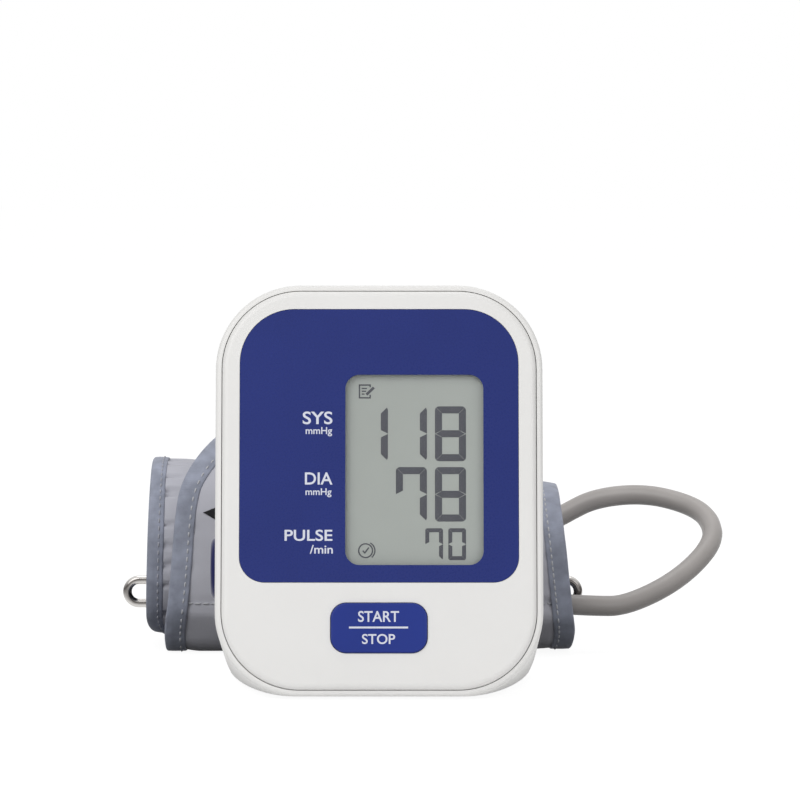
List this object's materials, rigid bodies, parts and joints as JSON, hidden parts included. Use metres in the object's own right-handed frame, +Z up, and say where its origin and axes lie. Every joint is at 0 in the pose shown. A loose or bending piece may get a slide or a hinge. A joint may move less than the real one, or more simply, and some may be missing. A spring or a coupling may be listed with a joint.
{
  "type": "blood pressure monitor",
  "caption": "Upright home blood pressure monitor with a blue face panel, large display, start button and a wound grey arm cuff on its air tube.",
  "frame": {"origin": "middle of the base pad's underside, on the table", "axes": "+X to the right of the display, +Y away from the reader, +Z up"},
  "size_m": [0.2067, 0.2975, 0.1296],
  "materials": {
    "case_white": "fine satin moulded white",
    "panel_blue": "smooth printed navy panel",
    "button_blue": "smooth moulded blue",
    "plug_blue": "smooth moulded blue",
    "pad_rubber": "matt non-slip rubber",
    "clear_lens": "clear polished window",
    "display": "grey-green reflective display",
    "inner_plastic": "plain moulded",
    "inner_rubber": "soft",
    "board_green": "solder mask",
    "chip_black": "moulded resin",
    "zinc_steel": "plated",
    "cell_wrap": "shrink wrap",
    "cuff_fabric": "light grey coated nylon weave",
    "lining_fabric": "soft grey nylon",
    "binding_tape": "ribbed grey-blue tape",
    "hook_tape": "hook fastener",
    "bladder_rubber": "thin sheet",
    "ring_chrome": "polished wire",
    "tube_rubber": "smooth warm grey hose"
  },
  "bodies": {
    "monitor": {"rear_case": "case_white", "base_pad": "pad_rubber", "front_cover": "case_white", "face_overlay": "panel_blue", "display_lens": "clear_lens", "display_glass": "display", "display_holder": "inner_plastic", "contact_strips": "inner_rubber", "circuit_board": "board_green", "processor_chip": "chip_black", "board_screws": "zinc_steel", "case_screws": "zinc_steel", "push_switch": "inner_plastic", "battery_1": "cell_wrap", "battery_2": "cell_wrap", "battery_3": "cell_wrap", "battery_4": "cell_wrap", "battery_springs": "zinc_steel", "contact_plates": "zinc_steel", "pump_motor": "zinc_steel", "pump_housing": "inner_plastic", "diaphragm": "inner_rubber", "drive_plate": "inner_plastic", "pump_cap": "inner_plastic", "pump_pad": "inner_rubber", "exhaust_valve": "zinc_steel", "pressure_sensor": "chip_black", "air_jack": "inner_plastic", "air_tee": "inner_plastic", "inner_air_tubes": "inner_rubber"},
    "start_button": {"start_button": "button_blue", "switch_plunger": "inner_plastic"},
    "battery_cover": {"battery_cover": "case_white"},
    "pump_crank": {"pump_crank": "zinc_steel"},
    "valve_armature": {"valve_armature": "zinc_steel"},
    "cuff_set": {"cuff_cloth": "cuff_fabric", "air_bladder": "bladder_rubber", "cuff_lining": "lining_fabric", "left_binding": "binding_tape", "right_binding": "binding_tape", "cuff_wrap": "cuff_fabric", "wrap_binding": "binding_tape", "hook_patch": "hook_tape", "ring_sleeve": "cuff_fabric", "tube_port": "inner_plastic", "air_tube": "tube_rubber", "air_plug": "plug_blue"},
    "pull_ring": {"pull_ring": "ring_chrome"}
  },
  "joints": [
    {"name": "start_press", "type": "slide", "parent": "monitor", "child": "start_button", "axis": [0, 0.9781, -0.2079], "range_m": [0, 0.0007], "stiffness_N_per_m": 1500},
    {"name": "battery_cover_tilt", "type": "hinge", "parent": "monitor", "child": "battery_cover", "pos_m": [0, 0.03776, 0.01273], "axis": [-1, 0, 0], "range_deg": [0, 60]},
    {"name": "pump_turn", "type": "hinge", "parent": "monitor", "child": "pump_crank", "pos_m": [0, 0.00637, 0.08969], "axis": [1, 0, 0], "continuous": true},
    {"name": "valve_stroke", "type": "slide", "parent": "monitor", "child": "valve_armature", "axis": [-1, 0, 0], "range_m": [0, 0.0008], "stiffness_N_per_m": 300},
    {"name": "cuff_unplug", "type": "slide", "parent": "monitor", "child": "cuff_set", "axis": [-1, 0, 0], "range_m": [0, 0.03]},
    {"name": "ring_swing", "type": "hinge", "parent": "cuff_set", "child": "pull_ring", "pos_m": [0, 0.115, 0.0235], "axis": [1, 0, 0], "range_deg": [-4, 4]}
  ]
}
